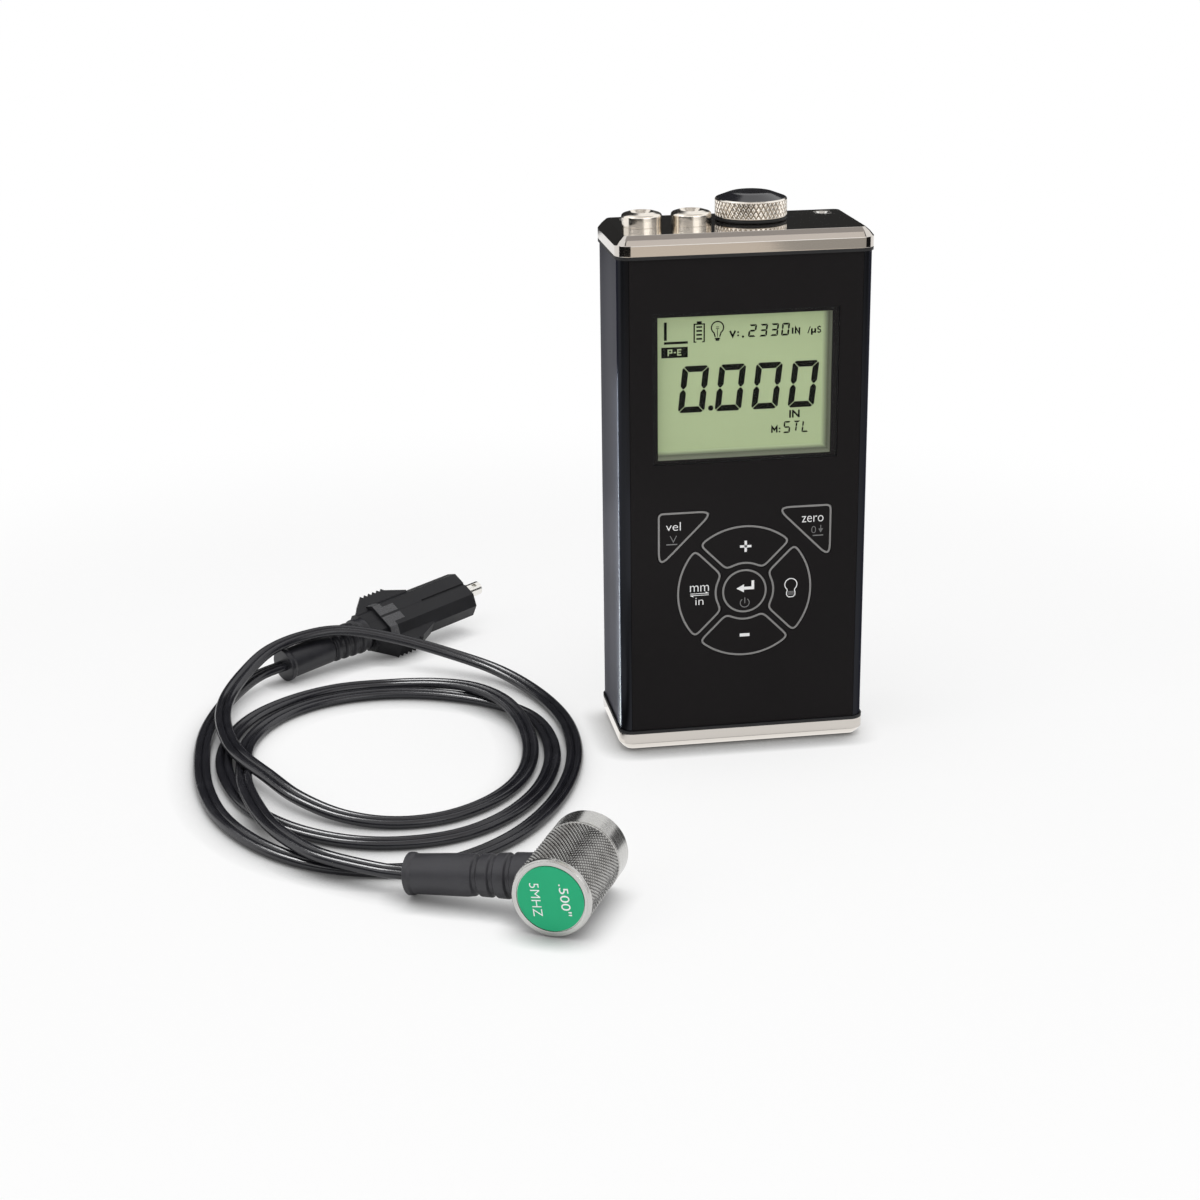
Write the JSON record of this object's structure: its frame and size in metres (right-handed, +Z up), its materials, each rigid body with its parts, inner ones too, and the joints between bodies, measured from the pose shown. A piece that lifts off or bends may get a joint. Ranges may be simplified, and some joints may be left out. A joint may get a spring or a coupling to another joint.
{
  "type": "ultrasonic thickness gauge",
  "caption": "Hand-held ultrasonic thickness gauge in an extruded case with bevelled end caps, display, membrane keys and screw-on battery cover, with a knurled probe on a coiled twin lead.",
  "frame": {"origin": "centre of the gauge's flat foot, on the surface that it stands on", "axes": "+Z up out of the foot and along the sockets, -Y out of the display face, +X to the right of someone who reads the display; the probe and its lead lie to -X"},
  "size_m": [0.1708, 0.2092, 0.1382],
  "materials": {
    "anodised_case": "black anodised satin",
    "overlay_film": "fine matt film",
    "clear_window": "clear, satin",
    "display_green": "grey-green display",
    "white_plastic": "matt",
    "key_film": "fine matt film",
    "spring_steel": "bright",
    "circuit_board": "solder resist",
    "polished_nickel": "polished nickel plate",
    "black_rubber": "satin",
    "screw_steel": "bright",
    "turned_nickel": "turned nickel plate",
    "gold_contact": "gold flash",
    "knurled_nickel": "knurled nickel plate",
    "plain_aluminium": "plain",
    "cell_jacket": "printed jacket, bare of print",
    "probe_steel": "knurled and turned stainless steel",
    "green_label": "satin print",
    "delay_plastic": "amber, lapped",
    "cork_barrier": "matt",
    "crystal_ceramic": "matt",
    "dark_resin": "cast",
    "cord_jacket": "satin",
    "plug_plastic": "moulded satin"
  },
  "bodies": {
    "root": {"case_extrusion": "anodised_case", "front_overlay": "overlay_film", "lcd_window": "clear_window", "lcd_panel": "display_green", "backlight": "white_plastic", "key_domes": "spring_steel", "keypad_board": "circuit_board", "keypad_spacers": "spring_steel", "main_board": "circuit_board", "top_cap": "polished_nickel", "top_gasket": "black_rubber", "top_cap_screws": "screw_steel", "bottom_cap": "polished_nickel", "bottom_gasket": "black_rubber", "bottom_cap_screws": "screw_steel", "socket_left": "turned_nickel", "socket_right": "turned_nickel", "socket_nuts": "turned_nickel", "socket_insulators": "white_plastic", "socket_contacts": "gold_contact", "battery_tube": "plain_aluminium", "battery_base": "white_plastic", "battery_spring": "spring_steel", "battery_upper": "cell_jacket", "battery_lower": "cell_jacket", "probe_barrel": "probe_steel", "probe_label": "green_label", "delay_lines": "delay_plastic", "acoustic_barrier": "cork_barrier", "crystals": "crystal_ceramic", "probe_backing": "dark_resin", "probe_boot": "black_rubber", "probe_cord": "cord_jacket", "plug_shell_left": "plug_plastic", "plug_shell_right": "plug_plastic", "plug_relief": "black_rubber", "plug_pin": "turned_nickel", "plug_insert": "white_plastic"},
    "cover_lift": {"cover_contact": "gold_contact"},
    "cover": {"battery_cover": "knurled_nickel", "cover_seal": "black_rubber"},
    "enter_key": {"key_enter": "key_film"},
    "plus_key": {"key_plus": "key_film"},
    "units_key": {"key_units": "key_film"},
    "minus_key": {"key_minus": "key_film"},
    "light_key": {"key_light": "key_film"},
    "velocity_key": {"key_velocity": "key_film"},
    "zero_key": {"key_zero": "key_film"}
  },
  "joints": [
    {"name": "cover_rise", "type": "slide", "parent": "root", "child": "cover_lift", "axis": [0, 0, 1], "range_m": [0, 0.006]},
    {"name": "cover_turn", "type": "hinge", "parent": "cover_lift", "child": "cover", "pos_m": [0.005, 0.0038, 0.133], "axis": [0, 0, 1], "range_deg": [0, 1445]},
    {"name": "enter_press", "type": "slide", "parent": "root", "child": "enter_key", "axis": [0, 1, 0], "range_m": [0, 0.0004], "stiffness_N_per_m": 2000},
    {"name": "plus_press", "type": "slide", "parent": "root", "child": "plus_key", "axis": [0, 1, 0], "range_m": [0, 0.0004], "stiffness_N_per_m": 2000},
    {"name": "units_press", "type": "slide", "parent": "root", "child": "units_key", "axis": [0, 1, 0], "range_m": [0, 0.0004], "stiffness_N_per_m": 2000},
    {"name": "minus_press", "type": "slide", "parent": "root", "child": "minus_key", "axis": [0, 1, 0], "range_m": [0, 0.0004], "stiffness_N_per_m": 2000},
    {"name": "light_press", "type": "slide", "parent": "root", "child": "light_key", "axis": [0, 1, 0], "range_m": [0, 0.0004], "stiffness_N_per_m": 2000},
    {"name": "velocity_press", "type": "slide", "parent": "root", "child": "velocity_key", "axis": [0, 1, 0], "range_m": [0, 0.0004], "stiffness_N_per_m": 2000},
    {"name": "zero_press", "type": "slide", "parent": "root", "child": "zero_key", "axis": [0, 1, 0], "range_m": [0, 0.0004], "stiffness_N_per_m": 2000}
  ],
  "couplings": [
    {"joint": "cover_turn", "follows": "cover_rise", "rad_per_m": 4188.8}
  ]
}
